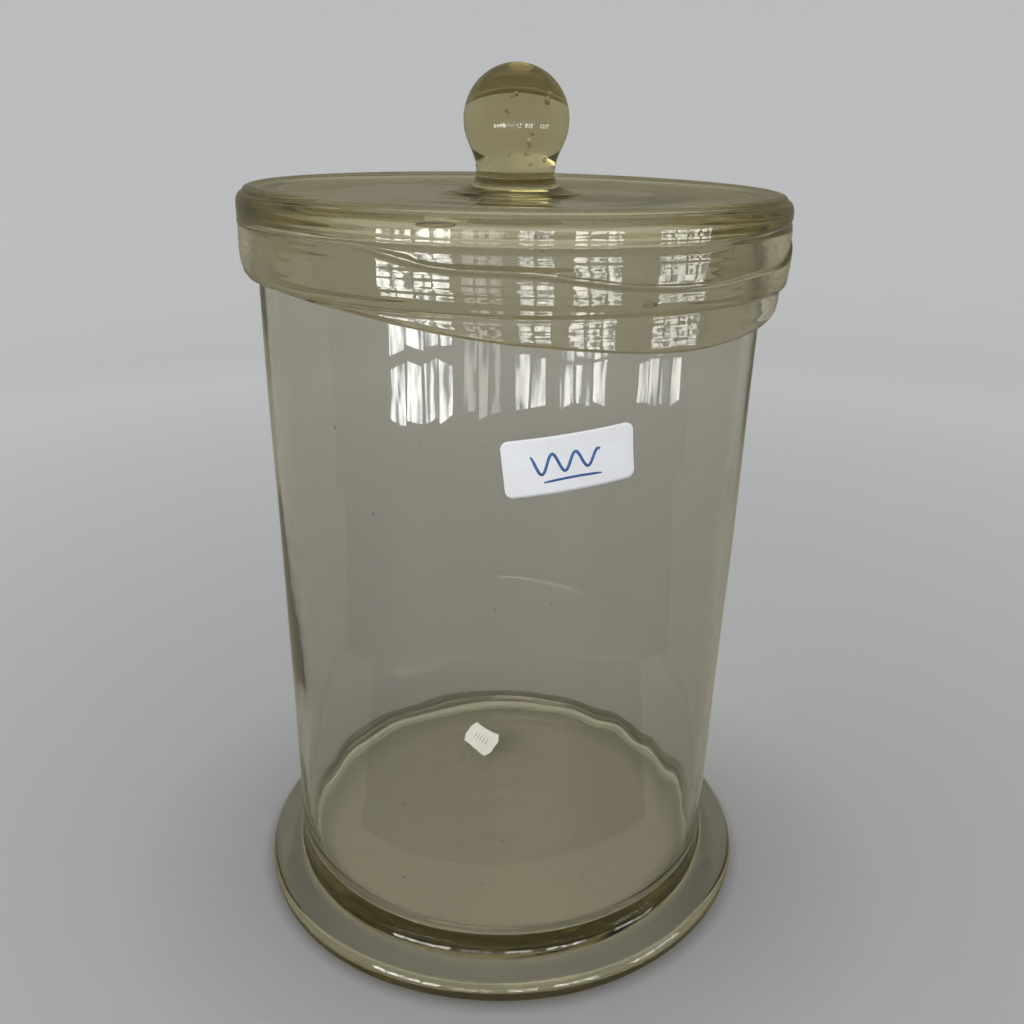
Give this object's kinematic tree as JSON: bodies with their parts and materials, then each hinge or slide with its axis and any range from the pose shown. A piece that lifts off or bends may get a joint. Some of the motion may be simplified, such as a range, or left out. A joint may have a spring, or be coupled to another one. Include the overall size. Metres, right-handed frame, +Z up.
{
  "type": "specimen jar",
  "caption": "Tall cylindrical glass specimen jar on a wide foot, with a lift-off over-fitting glass lid, a solid ball knob and blank paper stickers.",
  "frame": {"origin": "centre of the foot's underside, on the plane the jar stands on", "axes": "+Z up along the jar's axis, -Y towards the front, which carries the paper label, +X to the label's right as seen from the front"},
  "size_m": [0.209, 0.209, 0.328],
  "materials": {
    "jar_glass": "fire-polished, faint olive-grey tint, slightly wavy, with seeds and cords",
    "lid_glass": "fire-polished, thicker and darker olive tint, with cords and a few bubbles",
    "label_paper": "matt white sticker, slightly aged",
    "tag_paper": "semi-matt white price-gun sticker"
  },
  "bodies": {
    "jar": {"jar_body": "jar_glass", "jar_foot": "jar_glass", "lot_label": "label_paper", "price_tag": "tag_paper"},
    "lid": {"lid_cap": "lid_glass", "lid_band": "lid_glass", "lid_knob": "lid_glass"}
  },
  "joints": [
    {"name": "lid_lift", "type": "slide", "parent": "jar", "child": "lid", "axis": [0, 0, 1], "range_m": [0, 0.12]}
  ]
}
